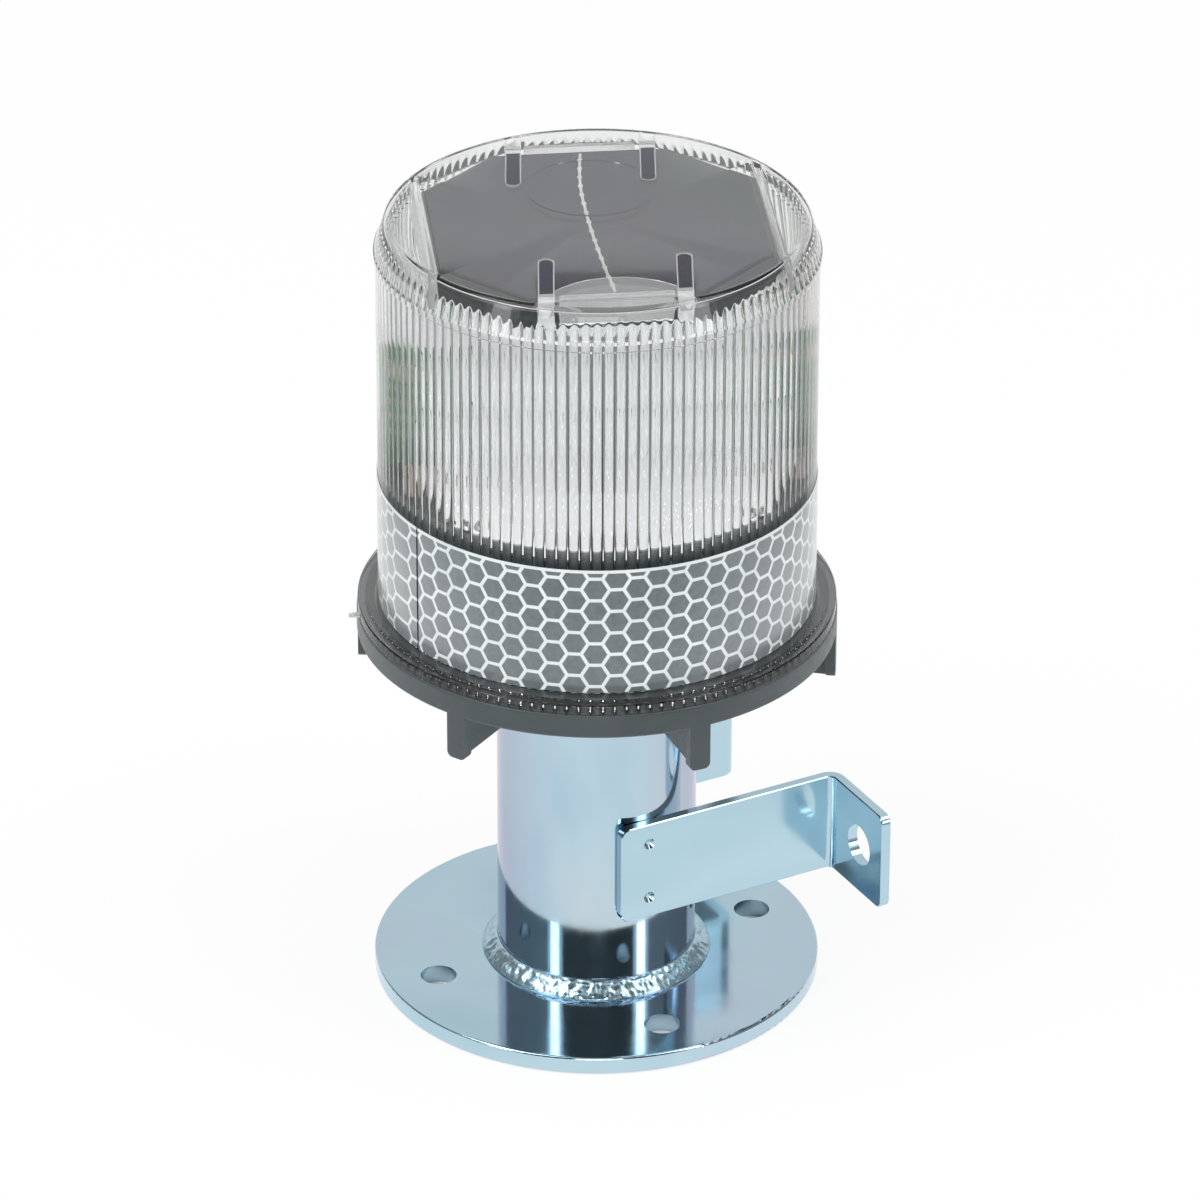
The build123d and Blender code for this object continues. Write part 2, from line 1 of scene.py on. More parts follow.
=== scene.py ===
# %% [markdown]
# This scene dresses a small solar warning light: a welded steel stand, a dark lamp base, and a clear ribbed
# cover over a solar panel, two silvered reflectors and a green board. The solid model comes from CAD and is a
# fixed frame, so nothing here moves or resizes it. We load it first.

# %% Load the frame
import bmesh
import bpy
import json
import math
from mathutils import Matrix, Vector


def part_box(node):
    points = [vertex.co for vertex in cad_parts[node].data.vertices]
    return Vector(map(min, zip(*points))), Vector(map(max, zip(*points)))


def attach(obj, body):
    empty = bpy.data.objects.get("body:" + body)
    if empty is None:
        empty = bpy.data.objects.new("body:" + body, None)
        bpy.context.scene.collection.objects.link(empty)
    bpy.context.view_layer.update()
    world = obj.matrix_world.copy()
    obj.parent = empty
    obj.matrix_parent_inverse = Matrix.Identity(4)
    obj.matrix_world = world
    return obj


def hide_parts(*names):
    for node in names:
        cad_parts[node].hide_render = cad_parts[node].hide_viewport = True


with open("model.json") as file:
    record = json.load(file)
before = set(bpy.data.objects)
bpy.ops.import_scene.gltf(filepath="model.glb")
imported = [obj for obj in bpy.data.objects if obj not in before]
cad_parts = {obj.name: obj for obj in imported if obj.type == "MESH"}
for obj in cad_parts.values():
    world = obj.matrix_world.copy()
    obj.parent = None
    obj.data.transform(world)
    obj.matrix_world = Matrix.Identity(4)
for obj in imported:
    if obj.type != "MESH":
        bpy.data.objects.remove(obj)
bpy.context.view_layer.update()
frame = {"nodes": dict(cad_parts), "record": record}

# %% [markdown]
# Blender's operators act on whatever is selected, and the import leaves every CAD node selected. These
# helpers deselect everything, pick one piece, select its vertices by a test on their place, and finish a
# piece by letting it ride on the one body.

# %% Helpers for modelling
mm = 0.001


def take(piece):
    """Make one piece the selected and active object."""
    if bpy.context.object and bpy.context.object.mode != "OBJECT":
        bpy.ops.object.mode_set(mode="OBJECT")
    bpy.ops.object.select_all(action="DESELECT")
    piece.select_set(True)
    bpy.context.view_layer.objects.active = piece
    return piece


def pick(test):
    """In edit mode, select only the vertices whose place passes the test."""
    bpy.ops.mesh.select_all(action="DESELECT")
    mesh = bmesh.from_edit_mesh(bpy.context.object.data)
    for vertex in mesh.verts:
        vertex.select_set(test(vertex.co))
    mesh.select_flush(True)
    bmesh.update_edit_mesh(bpy.context.object.data)


def drawn_line(name, points, closed=True):
    """A line in the XZ plane: one vertex, extruded from point to point of (radius, height) in mm."""
    bpy.ops.object.select_all(action="DESELECT")
    bpy.ops.mesh.primitive_plane_add(size=mm)
    piece = bpy.context.object
    piece.name = piece.data.name = name
    bpy.ops.object.mode_set(mode="EDIT")
    bpy.ops.mesh.merge(type="CENTER")
    bpy.ops.transform.translate(value=(points[0][0] * mm, 0, points[0][1] * mm))
    stops = points + points[:1] if closed else points
    for a, b in zip(stops, stops[1:]):
        step = ((b[0] - a[0]) * mm, 0, (b[1] - a[1]) * mm)
        bpy.ops.mesh.extrude_vertices_move(TRANSFORM_OT_translate={"value": step})
    if closed:
        bpy.ops.mesh.select_all(action="SELECT")
        bpy.ops.mesh.remove_doubles(threshold=0.001 * mm)
    return piece


def block(name, size, centre, turn=0.0):
    """A straight block of a size and centre in mm, turned about the lamp's axis."""
    bpy.ops.object.select_all(action="DESELECT")
    bpy.ops.mesh.primitive_cube_add(size=1)
    piece = bpy.context.object
    piece.name = piece.data.name = name
    place = Matrix.Rotation(turn, 4, "Z") @ Matrix.Translation(Vector(centre) * mm)
    piece.data.transform(place @ Matrix.Diagonal((size[0] * mm, size[1] * mm, size[2] * mm, 1)))
    return piece


def apply_all(piece):
    """Apply a piece's modifiers in their order."""
    take(piece)
    for modifier in list(piece.modifiers):
        bpy.ops.object.modifier_apply(modifier=modifier.name)


def finish_piece(piece, replaced=(), smooth=35):
    """Smooth the shading, put the piece on the body and hide the CAD nodes that it stands for."""
    take(piece)
    bpy.ops.object.shade_smooth_by_angle(angle=math.radians(smooth))
    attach(piece, "root")
    for node in replaced:
        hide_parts(node)
    corners = [v.co for v in piece.data.vertices]
    size = [max(c[i] for c in corners) - min(c[i] for c in corners) for i in range(3)]
    print(piece.name, len(piece.data.polygons), "faces,", [round(1000 * s, 1) for s in size], "mm")


# %% [markdown]
# The heights that the pieces share are read from the frame's own boxes, so that a new solid model moves them
# too. The lamp's inner parts and the bars under the cover's top are turned a little from the brackets' line.

# %% Places read from the frame
head_turn = math.radians(-22.2)
plate_low, plate_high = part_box("base_plate")
cover_low, cover_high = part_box("clear_cover")
weld_low, weld_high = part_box("foot_weld")
sheet_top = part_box("reflective_sheet")[1].z
panel_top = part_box("solar_panel")[1].z / mm
tube_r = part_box("post_tube")[1].x / mm
cover_foot = cover_low.z / mm
cover_top = cover_high.z / mm
print("cover from", round(cover_foot, 1), "to", round(cover_top, 1), "panel top", round(panel_top, 1))

# %% [markdown]
# The cover is the hardest piece. On the real lamp it is one clear moulding, smooth outside and lined inside
# with 120 upright beads that bend the light sideways. Glass needs true walls with an inside and an outside,
# and round beads need more faces than the solid has. So one bead's slice is drawn as a section and spun
# through three degrees, its inner line is pushed in to a bead, and an array of 120 slices closes the ring.

# %% Sizes of the cover
bead_count = 120
bead_steps = 12
bead_power = 2.2
crest_r = 61.7
valley_r = 62.55
bore_r = 62.8
wall_r = 65.2
foot_r = 71.7
shelf_r = foot_r - 2.4
foot_z = cover_foot + 3.2
shelf_z = foot_z + 0.8
lip_out = 0.5
lip_r = wall_r + lip_out
lip_h = 2.4
shoulder_h = 9.6
top_t = 2.2
neck_z = cover_top - shoulder_h
lip_z = neck_z - lip_h
ceiling_z = cover_top - top_t
ceiling_r = 61.0
edge_r = 62.1


def bead_radius(angle):
    """The bore's radius across one round bead."""
    across = min(1, abs(angle) / (math.pi / bead_count))
    return crest_r + (valley_r - crest_r) * across ** bead_power


def cone_radius(z):
    """The bore's radius above the neck, where the shoulder leans in."""
    share = max(0, (z - neck_z) / (ceiling_z - neck_z))
    return bore_r + (ceiling_r - bore_r) * share


# %% [markdown]
# The section is drawn as one line of vertices, from the top's centre down the inside, round the foot and
# back up the outside. Bevelled corners give it the small rounds of a moulding, and a spin makes the slice.

# %% One slice of the cover
fade_heights = [neck_z + h for h in (0.0, 0.6, 1.3, 2.0, 2.7, 3.4, 4.1, 4.6)]
outside = [(foot_r, cover_foot), (foot_r, foot_z), (shelf_r, foot_z), (shelf_r, shelf_z), (wall_r, shelf_z),
           (wall_r, lip_z - lip_out), (lip_r, lip_z), (lip_r, neck_z - lip_out), (wall_r, neck_z),
           (edge_r, cover_top), (0, cover_top)]
inside = [(0, ceiling_z), (ceiling_r, ceiling_z)]
inside += [(cone_radius(z), z) for z in reversed(fade_heights)]
inside += [(bore_r, cover_foot)]
cover = drawn_line("clear_cover_shell", inside + outside, closed=False)
rounded = {(wall_r, neck_z): 0.5, (edge_r, cover_top): 1.8, (ceiling_r, ceiling_z): 0.8,
           (foot_r, foot_z): 0.5, (wall_r, shelf_z): 0.4, (lip_r, lip_z): 0.3,
           (lip_r, neck_z - lip_out): 0.3}
near_enough = 0.05
for (r, z), size in rounded.items():
    pick(lambda co: abs(co.x / mm - r) < near_enough and abs(co.z / mm - z) < near_enough)
    bpy.ops.mesh.bevel(affect="VERTICES", offset=size * mm, segments=4)
bpy.ops.mesh.select_all(action="SELECT")
half = math.pi / bead_count
bpy.ops.mesh.spin(steps=bead_steps, angle=2 * half, center=(0, 0, 0), axis=(0, 0, 1))

# %% [markdown]
# Only the inner line becomes a bead: each of its points is drawn in towards the axis, most at the slice's
# middle. Above the neck the shoulder leans in, and the bead fades out where the shoulder reaches it.

# %% The bead in the slice
mesh = bmesh.from_edit_mesh(cover.data)
angles = [math.atan2(v.co.y, v.co.x) for v in mesh.verts]
middle = (min(angles) + max(angles)) / 2
print("slice from", round(math.degrees(min(angles)), 2), "to", round(math.degrees(max(angles)), 2), "degrees")
for vertex, angle in zip(mesh.verts, angles):
    r = vertex.co.xy.length / mm
    z = vertex.co.z / mm
    on_bore = abs(r - cone_radius(z)) < 0.02 and ceiling_r - 1 < r < bore_r + 0.01
    if on_bore and z < ceiling_z - 1:
        vertex.co.xy *= min(bead_radius(angle - middle), cone_radius(z)) / r
bmesh.update_edit_mesh(cover.data)
bpy.ops.object.mode_set(mode="OBJECT")

# %% [markdown]
# The array modifier can turn each copy by another object's turn, so an empty is turned by one bead's angle.
# Once the array is applied the empty has done its work and goes. The slices are then merged where they meet,
# also at the top's centre, and the normals are made to point out.

# %% The whole ring of beads
bpy.ops.object.select_all(action="DESELECT")
bpy.ops.object.empty_add()
turner = bpy.context.object
turner.rotation_euler.z = 2 * half
ring = take(cover).modifiers.new("beads", "ARRAY")
ring.count = bead_count
ring.use_relative_offset = False
ring.use_object_offset = True
ring.offset_object = turner
bpy.context.view_layer.update()
apply_all(cover)
bpy.data.objects.remove(turner)
take(cover)
bpy.ops.object.mode_set(mode="EDIT")
bpy.ops.mesh.select_all(action="SELECT")
bpy.ops.mesh.remove_doubles(threshold=0.01 * mm)
bpy.ops.mesh.select_all(action="SELECT")
bpy.ops.mesh.normals_make_consistent(inside=False)
shell = bmesh.from_edit_mesh(cover.data)
print("cover shell faces", len(shell.faces), "open edges", sum(not edge.is_manifold for edge in shell.edges))
bpy.ops.object.mode_set(mode="OBJECT")

# %% [markdown]
# Under the cover's top hang the bars that hold the panel: two long chord walls, two short end walls and four
# round-ended fingers, each with an upright foot outside the panel. They belong to the same moulding, so a
# boolean union melts them into the shell, and each starts a little way up inside the top for it. A bar that
# only touched would show a second surface.

# %% Sizes of the bars
panel_half = 48.0
fit_gap = 0.2
tray_wall = 1.2
wall_at = panel_half + fit_gap + tray_wall + fit_gap
wall_t = 2.2
wall_drop = 8.5
wall_root = 1.1
wall_h = wall_drop + wall_root
wall_mid = ceiling_z - wall_drop + wall_h / 2
chord_wall_w = 72.0
end_wall_w = 33.0
finger_w = 4.8
finger_t = 2.3
finger_mid = ceiling_z - 0.05
finger_x = 20.0
finger_reach = 20.6
finger_run = 30.0
finger_turn = math.radians(-5.7)
finger_foot_t = 3.0
finger_foot_y = wall_at + (fit_gap + finger_foot_t / 2) - panel_half
soft_edge = 0.4
print("chord walls", round(wall_at, 1), "mm from the middle, fingers", finger_x, "mm to each side")

# %% [markdown]
# A wall is a plain block with softened edges. A finger starts as a short upright cylinder, whose outer
# half is moved away in edit mode, so that it becomes a bar with round ends. It is set across the panel's
# edge, turned a little and given its foot. The opposite edge's fingers are turned by half a circle more.

# %% Walls and fingers under the top
def soften(piece):
    """Round a bar's edges a little, as a mould does."""
    edge = take(piece).modifiers.new("soft_edges", "BEVEL")
    edge.width = soft_edge * mm
    edge.segments = 2
    apply_all(piece)


def finger(side, end):
    """One finger: a flat bar with a round inner end, turned a little, and its upright foot."""
    bpy.ops.object.select_all(action="DESELECT")
    bpy.ops.mesh.primitive_cylinder_add(vertices=24, radius=finger_w / 2 * mm, depth=finger_t * mm)
    flat = bpy.context.object
    flat.name = flat.data.name = "finger_bar"
    bpy.ops.object.mode_set(mode="EDIT")
    pick(lambda co: co.y > 0.01 * mm)
    bpy.ops.transform.translate(value=(0, finger_run * mm, 0))
    bpy.ops.object.mode_set(mode="OBJECT")
    flat.data.transform(Matrix.Translation((0, -finger_reach * mm, finger_mid * mm)))
    foot = block("finger_foot", (finger_w, finger_foot_t, wall_h), (0, finger_foot_y, wall_mid))
    turn = finger_turn + (0 if end > 0 else math.pi)
    at = Matrix.Translation((side * finger_x * mm, end * panel_half * mm, 0)) @ Matrix.Rotation(turn, 4, "Z")
    for piece in (flat, foot):
        piece.data.transform(Matrix.Rotation(head_turn, 4, "Z") @ at)
    return [flat, foot]


fittings = []
for side in (-1, 1):
    at = side * (wall_at + wall_t / 2)
    fittings.append(block("chord_wall", (wall_t, chord_wall_w, wall_h), (at, 0, wall_mid), head_turn))
    fittings.append(block("end_wall", (end_wall_w, wall_t, wall_h), (0, at, wall_mid), head_turn))
    for end in (-1, 1):
        fittings += finger(side, end)
for piece in fittings:
    soften(piece)
print("bars under the top:", len(fittings))

# %% [markdown]
# Two shallow round pads lie under the top as well. The front one belongs to a circle centred near the
# cover's wall, so a bisect cuts off what lies past the end wall. On the cover's foot stands the short stub
# of the gate, where the plastic entered the mould. It is a block whose outer end is drawn together.

# %% Pads and the gate's stub
pad_t = 1.4
pad_mid = ceiling_z + 0.3
rear_pad_r = 19.0
rear_pad_y = 21.0
front_pad_r = 24.5
front_pad_y = -64.0
front_pad_cut = -53.0
gate_turn = math.radians(162)
gate_len = 3.5
gate_root = 1.7
gate_z = cover_foot + 1.6


def pad(radius, y):
    """A shallow round pad under the top."""
    bpy.ops.object.select_all(action="DESELECT")
    bpy.ops.mesh.primitive_cylinder_add(vertices=96, radius=radius * mm, depth=pad_t * mm)
    piece = bpy.context.object
    piece.data.transform(Matrix.Rotation(head_turn, 4, "Z") @ Matrix.Translation((0, y * mm, pad_mid * mm)))
    return piece


rear_pad = pad(rear_pad_r, rear_pad_y)
fittings.append(rear_pad)
front_pad = pad(front_pad_r, front_pad_y)
take(front_pad)
bpy.ops.object.mode_set(mode="EDIT")
bpy.ops.mesh.select_all(action="SELECT")
cut = Matrix.Rotation(head_turn, 3, "Z") @ Vector((0, front_pad_cut * mm, 0))
bpy.ops.mesh.bisect(plane_co=cut, plane_no=cut.normalized(), clear_outer=True, use_fill=True)
bpy.ops.object.mode_set(mode="OBJECT")
fittings.append(front_pad)
gate_size = (gate_len + gate_root, 2.4, 1.6)
gate = block("gate_nib", gate_size, (foot_r + (gate_len - gate_root) / 2, 0, gate_z), gate_turn)
take(gate)
bpy.ops.object.mode_set(mode="EDIT")
tip = Matrix.Rotation(gate_turn, 3, "Z") @ Vector((foot_r + gate_len, 0, gate_z)) * mm
pick(lambda co: co.xy.length > (foot_r + gate_len - 0.5) * mm)
bpy.ops.transform.resize(value=(0.35, 0.35, 0.6), center_override=tip)
bpy.ops.object.mode_set(mode="OBJECT")
fittings.append(gate)
print("fittings in all:", len(fittings))

# %% [markdown]
# The bars overlap each other, so they are melted into one closed piece first, one after the other, which is
# quick on such small meshes. The last union then meets one clean piece. A union keeps each face's material
# index, and there are three: the polished skin, the walls, whose faces the mould left a little duller, and
# the milky fingers.

# %% Melt the bars into the shell
polished = 0
dull = 1
milky = 2


def melt(base, other):
    """Unite another piece with the base, and remove it."""
    union = take(base).modifiers.new("union", "BOOLEAN")
    union.operation = "UNION"
    union.solver = "EXACT"
    union.material_mode = "INDEX"
    union.object = other
    apply_all(base)
    bpy.data.objects.remove(other)


def mark(piece, index):
    """Give a piece the three material places, and all its faces the one with this index."""
    piece.data.materials.clear()
    for place in (polished, dull, milky):
        piece.data.materials.append(None)
    for polygon in piece.data.polygons:
        polygon.material_index = index


for piece in (cover, rear_pad):
    mark(piece, polished)
for piece in fittings:
    if piece.name.startswith("finger"):
        mark(piece, milky)
    elif piece != rear_pad:
        mark(piece, dull)
bars = fittings[0]
for piece in fittings[1:]:
    melt(bars, piece)
melt(cover, bars)
print("faces of the bars", sum(polygon.material_index != polished for polygon in cover.data.polygons))
finish_piece(cover, ["clear_cover"], smooth=30)

# %% [markdown]
# The weld is a fillet between tube and plate. Its section is drawn from the node's own height and spun round
# the tube, and creases will keep its toes against tube and plate while a subdivision rounds its face.

# %% The weld's ring
weld_leg = (weld_high.z - weld_low.z) / mm
weld_z = weld_low.z / mm
near = weld_leg * 0.34
far = weld_leg * 0.84
swell = weld_leg / 2 + 0.2
ripples = 54
section = [(tube_r, weld_z), (tube_r + weld_leg, weld_z), (tube_r + far, weld_z + near),
           (tube_r + swell, weld_z + swell), (tube_r + near, weld_z + far), (tube_r, weld_z + weld_leg)]
weld = drawn_line("weld_bead", section)
bpy.ops.mesh.select_all(action="SELECT")
bpy.ops.mesh.spin(steps=3 * ripples, angle=2 * math.pi, center=(0, 0, 0), axis=(0, 0, 1))
bpy.ops.mesh.select_all(action="SELECT")
bpy.ops.mesh.remove_doubles(threshold=0.01 * mm)
bpy.ops.mesh.normals_make_consistent(inside=False)
for toe_r, toe_z in (section[0], section[1], section[-1]):
    pick(lambda co: abs(co.xy.length / mm - toe_r) < near_enough and abs(co.z / mm - toe_z) < near_enough)
    bpy.ops.transform.edge_crease(value=1)
print("weld", round(weld_leg, 1), "mm high, with", ripples, "ripples")

# %% [markdown]
# A weld bead isn't smooth: each small pool of metal sets over the one before and leaves a ripple. At even
# steps round the tube some of the face's vertices are pushed out, by heights that vary. Once the
# subdivision is applied, a cloud texture adds small lumps, but only to the vertices of the group "face".

# %% The weld's ripples and lumps
def on_face(co, margin):
    """Whether a point is on the weld's free face, off its toes by a margin in mm."""
    return co.xy.length > (tube_r + margin) * mm and co.z > (weld_z + margin) * mm


def turned_from(co, angle):
    """The angle between a point and a direction, whichever way round is shorter."""
    return abs((math.atan2(co.y, co.x) - angle + math.pi) % (2 * math.pi) - math.pi)


step = 2 * math.pi / ripples
for i in range(ripples):
    pick(lambda co: on_face(co, 0.3) and turned_from(co, i * step) < step / 6)
    height = 0.1 + 0.1 * math.sin(5.3 * i) * math.cos(2.1 * i)
    bpy.ops.transform.shrink_fatten(value=height * mm)
bpy.ops.object.mode_set(mode="OBJECT")
rounding = weld.modifiers.new("rounding", "SUBSURF")
rounding.levels = rounding.render_levels = 2
apply_all(weld)
face = weld.vertex_groups.new(name="face")
face.add([v.index for v in weld.data.vertices if on_face(v.co, 0.5)], 1.0, "REPLACE")
lumps = weld.modifiers.new("lumps", "DISPLACE")
lumps.texture = bpy.data.textures.new("weld_clouds", "CLOUDS")
lumps.texture.noise_scale = 3.2 * mm
lumps.vertex_group = "face"
lumps.strength = 0.9 * mm
lumps.mid_level = 0.6
apply_all(weld)
finish_piece(weld, ["foot_weld"], smooth=180)

# %% [markdown]
# The panel is one dark laminate. The one mark on it is the pale ribbon that joins its two halves, bowed a
# little to one side, with small solder spots along it. A thin strip on the panel's top face is cut across
# where its spots begin and end, the spots are widened, and then the whole strip is bowed.

# %% The panel's pale ribbon
ribbon_w = 0.8
ribbon_len = 93.0
ribbon_t = 0.12
spots = range(-42, 43, 6)
spot_share = 1.9
bow = 2.8
bow_y = 14
bow_rear = 34
bow_front = 62
ribbon = block("panel_ribbon", (ribbon_w, ribbon_len, ribbon_t), (0, 0, panel_top + ribbon_t / 2), 0)
take(ribbon)
bpy.ops.object.mode_set(mode="EDIT")
bpy.ops.mesh.select_all(action="SELECT")
bpy.ops.mesh.bisect(plane_co=(0, 0, 0), plane_no=(0, 1, 0))
for y in spots:
    for edge in (-1.0, -0.4, 0.4, 1.0):
        bpy.ops.mesh.select_all(action="SELECT")
        bpy.ops.mesh.bisect(plane_co=(0, (y + edge) * mm, 0), plane_no=(0, 1, 0))
for y in spots:
    pick(lambda co: abs(co.y / mm - y) < 0.5)
    bpy.ops.transform.resize(value=(spot_share, 1, 1))
mesh = bmesh.from_edit_mesh(ribbon.data)
for vertex in mesh.verts:
    y = vertex.co.y / mm
    reach = bow_rear if y > bow_y else bow_front
    vertex.co.x -= bow * mm * math.cos(math.pi / 2 * min(1, abs(y - bow_y) / reach))
bmesh.update_edit_mesh(ribbon.data)
bpy.ops.object.mode_set(mode="OBJECT")
ribbon.data.transform(Matrix.Rotation(head_turn, 4, "Z"))
finish_piece(ribbon)

# %% [markdown]
# Materials come next. Two effects are used by many of them: a soft mottle, as on plated or moulded surfaces,
# and drawn lines, which are the same noise stretched along one direction. Both come from one node group with
# named inputs, which puts out only masks, so every material can place them with values of its own.

# %% Shared effects
def group_with(name, inputs, outputs):
    """A new shader node group with float inputs and outputs."""
    group = bpy.data.node_groups.new(name, "ShaderNodeTree")
    for socket, kind, value in inputs:
        made = group.interface.new_socket(name=socket, in_out="INPUT", socket_type=kind)
        made.default_value = value
    for socket in outputs:
        group.interface.new_socket(name=socket, in_out="OUTPUT", socket_type="NodeSocketFloat")
    return group, group.nodes.new("NodeGroupInput"), group.nodes.new("NodeGroupOutput")


def mottle_group():
    """Two sizes of soft noise on the piece's own Object coordinates."""
    inputs = [("Stretch", "NodeSocketVector", (1, 1, 1)), ("Scale", "NodeSocketFloat", 40.0)]
    group, entry, exit_node = group_with("mottle", inputs, ["Broad", "Fine"])
    place = group.nodes.new("ShaderNodeTexCoord")
    stretch = group.nodes.new("ShaderNodeVectorMath")
    stretch.operation = "MULTIPLY"
    broad = group.nodes.new("ShaderNodeTexNoise")
    broad.inputs["Detail"].default_value = 3
    fine = group.nodes.new("ShaderNodeTexNoise")
    fine.inputs["Detail"].default_value = 6
    more = group.nodes.new("ShaderNodeMath")
    more.operation = "MULTIPLY"
    more.inputs[1].default_value = 9
    link = group.links.new
    link(place.outputs["Object"], stretch.inputs[0])
    link(entry.outputs["Stretch"], stretch.inputs[1])
    link(stretch.outputs[0], broad.inputs["Vector"])
    link(stretch.outputs[0], fine.inputs["Vector"])
    link(entry.outputs["Scale"], broad.inputs["Scale"])
    link(entry.outputs["Scale"], more.inputs[0])
    link(more.outputs[0], fine.inputs["Scale"])
    link(broad.outputs["Fac"], exit_node.inputs["Broad"])
    link(fine.outputs["Fac"], exit_node.inputs["Fine"])
    return group


mottle = mottle_group()
print("shared effects:", mottle.name)

# %% [markdown]
# Every opaque finish here is a Principled shader with three things that change over the surface: the colour
# runs between a few tones along the broad noise, the roughness between two values, and the fine noise gives
# a little relief through a Bump node. A few finishes also take another tint where they turn away from the
# eye, as a Layer Weight node tells: painted sheen and painted reflection. One function sets all this.

# %% A function for opaque finishes
mask_low = 0.3
mask_high = 0.7


def spread(nodes, links, source, low, high):
    """Map the middle of a mask onto a range of values."""
    node = nodes.new("ShaderNodeMapRange")
    node.inputs["From Min"].default_value = mask_low
    node.inputs["From Max"].default_value = mask_high
    node.inputs["To Min"].default_value = low
    node.inputs["To Max"].default_value = high
    links.new(source, node.inputs["Value"])
    return node.outputs["Result"]


def tones(nodes, links, source, colours):
    """A colour ramp through the given tones, over the middle of a mask."""
    ramp = nodes.new("ShaderNodeValToRGB")
    ramp.color_ramp.elements[0].position = mask_low
    ramp.color_ramp.elements[1].position = mask_high
    ramp.color_ramp.elements[0].color = (*colours[0], 1)
    ramp.color_ramp.elements[1].color = (*colours[-1], 1)
    gap = (mask_high - mask_low) / (len(colours) - 1)
    for i, colour in enumerate(colours[1:-1]):
        element = ramp.color_ramp.elements.new(mask_low + gap * (i + 1))
        element.color = (*colour, 1)
    links.new(source, ramp.inputs["Fac"])
    return ramp.outputs["Color"]


# Painted edge shading: the colour turns where the surface faces away, standing in for sheen and reflection.
def painted_edge_shading(nodes, links, colour, edge):
    """Painted edge shading: mix a colour towards another one where the surface turns away, as light would."""
    turned = nodes.new("ShaderNodeLayerWeight")
    turned.inputs["Blend"].default_value = 0.35
    mix = nodes.new("ShaderNodeMix")
    mix.data_type = "RGBA"
    links.new(turned.outputs["Facing"], mix.inputs["Factor"])
    links.new(colour, mix.inputs[6])
    mix.inputs[7].default_value = (*edge, 1)
    return mix.outputs[2]


def opaque(name, colours, rough, metallic=0.0, scale=40.0, stretch=(1, 1, 1), relief=0.05, coat=0.0,
           specular=0.5, edge=None):
    """A finish whose colour, roughness and relief vary over the piece, with painted edge shading if given."""
    made = bpy.data.materials.new(name)
    made.use_nodes = True
    nodes, links = made.node_tree.nodes, made.node_tree.links
    shader = nodes["Principled BSDF"]
    shader.inputs["Metallic"].default_value = metallic
    shader.inputs["Specular IOR Level"].default_value = specular
    shader.inputs["Coat Weight"].default_value = coat
    shader.inputs["Coat Roughness"].default_value = 0.06
    effect = nodes.new("ShaderNodeGroup")
    effect.node_tree = mottle
    effect.inputs["Scale"].default_value = scale
    effect.inputs["Stretch"].default_value = stretch
    colour = tones(nodes, links, effect.outputs["Broad"], colours)
    # The edge colour is painted edge shading, not a colour of the piece.
    if edge:
        colour = painted_edge_shading(nodes, links, colour, edge)
    links.new(colour, shader.inputs["Base Color"])
    links.new(spread(nodes, links, effect.outputs["Fine"], rough[0], rough[1]), shader.inputs["Roughness"])
    bump = nodes.new("ShaderNodeBump")
    bump.inputs["Strength"].default_value = relief
    bump.inputs["Distance"].default_value = 0.2 * mm
    links.new(effect.outputs["Fine"], bump.inputs["Height"])
    links.new(bump.outputs["Normal"], shader.inputs["Normal"])
    return made


# %% [markdown]
# The stand is zinc plated: a bright metal with a blue cast, a hint of pink and straw, and a soft grain that
# follows how each piece was made. The plate's grain is round mottle, the tube's and strips' is drawn lines.
# The tube's darker purple tint towards its sides is a painted reflection.

# %% Zinc and other metals
blue_zinc = (0.42, 0.60, 0.70)
pale_zinc = (0.50, 0.68, 0.77)
rose_zinc = (0.52, 0.62, 0.74)
straw_zinc = (0.58, 0.70, 0.74)
finishes = {}
finishes["zinc_plate"] = opaque("zinc_on_plate", [blue_zinc, pale_zinc, rose_zinc], (0.07, 0.13), 1.0, 12,
                                relief=0.02)
# The tube's edge colour is a painted reflection where it turns away from the eye.
finishes["zinc_tube"] = opaque("zinc_on_tube", [blue_zinc, pale_zinc, straw_zinc, pale_zinc], (0.06, 0.12),
                               1.0, 22, (1, 1, 0.4), 0.03, edge=(0.30, 0.26, 0.42))
finishes["zinc_bracket"] = opaque("zinc_on_strip", [blue_zinc, pale_zinc, blue_zinc], (0.10, 0.18), 1.0, 14,
                                  (0.3, 1, 1), 0.02)
finishes["weld_bead"] = opaque("zinc_on_weld", [blue_zinc, pale_zinc], (0.2, 0.34), 1.0, 90, relief=0.08)
finishes["fastener_steel"] = opaque("plated_steel", [(0.55, 0.56, 0.57), (0.66, 0.67, 0.68)],
                                    (0.25, 0.4), 1.0, 60)
finishes["strap_steel"] = opaque("spring_strip", [(0.5, 0.52, 0.54), (0.62, 0.64, 0.66)],
                                 (0.3, 0.45), 1.0, 40)
finishes["silvered_plastic"] = opaque("silvered", [(0.93, 0.94, 0.96), (0.97, 0.98, 0.98)],
                                      (0.15, 0.3), 0.42, 20, relief=0.02)
print("metal finishes:", len(finishes))
